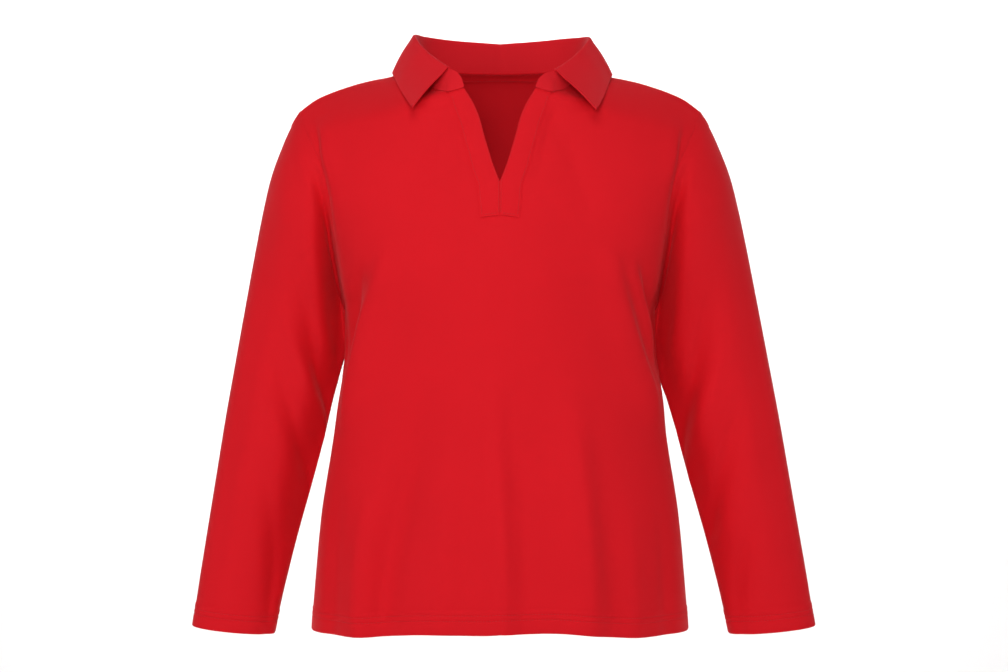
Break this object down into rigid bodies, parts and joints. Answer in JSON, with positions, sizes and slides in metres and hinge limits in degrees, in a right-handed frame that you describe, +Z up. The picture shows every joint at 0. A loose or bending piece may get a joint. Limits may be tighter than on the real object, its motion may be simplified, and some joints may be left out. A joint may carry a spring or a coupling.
{
  "type": "polo shirt",
  "caption": "Long-sleeved jersey polo shirt, filled out as worn and hollow, with a folded collar, an open V placket and turned-up hems.",
  "frame": {"origin": "between the high points of the shoulders, where the shoulder seams meet the neck, in the plane of the side seams and on the shirt's middle: where a wearer's shoulders hold the shirt", "axes": "+Z up, -Y out of the front, +X towards the wearer's left"},
  "size_m": [0.742, 0.2809, 0.7185],
  "materials": {
    "jersey": "smooth cotton interlock jersey, matt with a soft pale bloom at grazing angles",
    "collar_cloth": "doubled self jersey, matt",
    "tape_cloth": "narrow self-coloured tape"
  },
  "bodies": {
    "root": {"front": "jersey", "back": "jersey", "sleeve_right": "jersey", "sleeve_left": "jersey", "collar": "collar_cloth", "placket_right": "jersey", "placket_left": "jersey", "neck_tape": "tape_cloth"}
  },
  "joints": []
}
